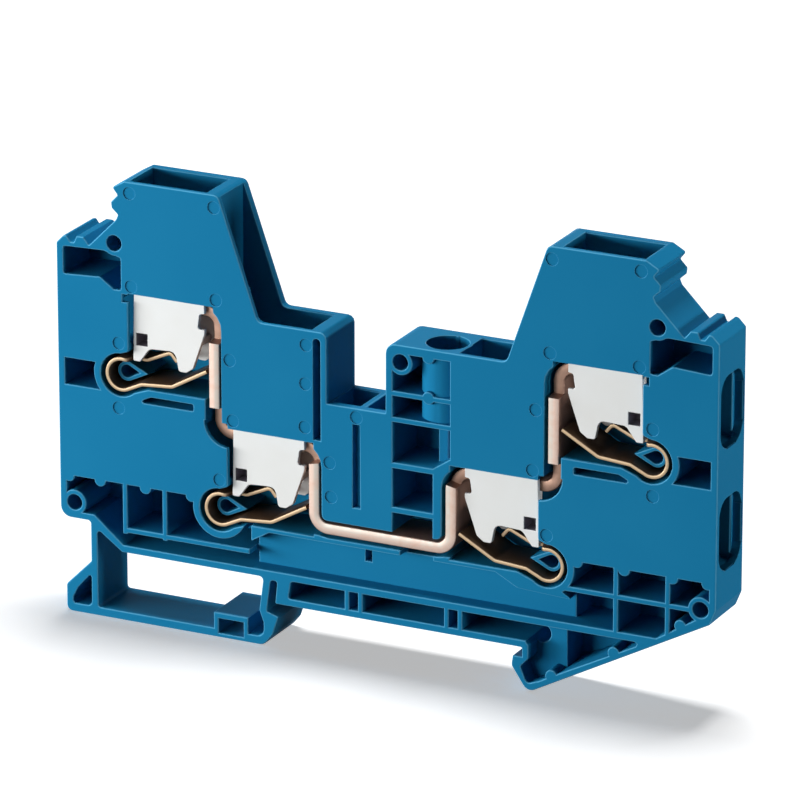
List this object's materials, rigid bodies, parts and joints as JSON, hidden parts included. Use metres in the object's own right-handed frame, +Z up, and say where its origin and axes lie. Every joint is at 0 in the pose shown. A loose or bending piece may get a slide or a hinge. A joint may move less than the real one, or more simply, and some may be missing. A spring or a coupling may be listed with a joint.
{
  "type": "feed-through terminal block",
  "caption": "Rail-mounted feed-through terminal block with an open blue moulded housing, stepped copper current bar, sprung wire clamps and white pushers under tall tool shafts.",
  "frame": {"origin": "middle of the rail, on the seat that rests on the rail's flanges, halfway through the block's thickness", "axes": "+X along the block towards the hook, -Y the open side, +Z up from the rail"},
  "size_m": [0.0928, 0.0082, 0.0599],
  "materials": {
    "housing": "blue polyamide, finely spark-eroded mould surface",
    "pusher": "white polyamide, smooth",
    "bar": "copper strip, tin-plated on its broad faces, bare on its punched edges",
    "spring": "blued spring steel with bare slit edges"
  },
  "bodies": {
    "block": {"housing": "housing", "current_bar": "bar", "clamp_spring_upper_left": "spring", "clamp_spring_lower_left": "spring", "clamp_spring_lower_right": "spring", "clamp_spring_upper_right": "spring"},
    "pusher_upper_left": {"pusher_upper_left": "pusher"},
    "pusher_lower_left": {"pusher_lower_left": "pusher"},
    "pusher_lower_right": {"pusher_lower_right": "pusher"},
    "pusher_upper_right": {"pusher_upper_right": "pusher"}
  },
  "joints": [
    {"name": "push_upper_left", "type": "slide", "parent": "block", "child": "pusher_upper_left", "axis": [0, 0, -1], "range_m": [0, 0.0015], "stiffness_N_per_m": 6000, "deforming": ["clamp_spring_upper_left"]},
    {"name": "push_lower_left", "type": "slide", "parent": "block", "child": "pusher_lower_left", "axis": [0, 0, -1], "range_m": [0, 0.0015], "stiffness_N_per_m": 6000, "deforming": ["clamp_spring_lower_left"]},
    {"name": "push_lower_right", "type": "slide", "parent": "block", "child": "pusher_lower_right", "axis": [0, 0, -1], "range_m": [0, 0.0015], "stiffness_N_per_m": 6000, "deforming": ["clamp_spring_lower_right"]},
    {"name": "push_upper_right", "type": "slide", "parent": "block", "child": "pusher_upper_right", "axis": [0, 0, -1], "range_m": [0, 0.0015], "stiffness_N_per_m": 6000, "deforming": ["clamp_spring_upper_right"]}
  ]
}
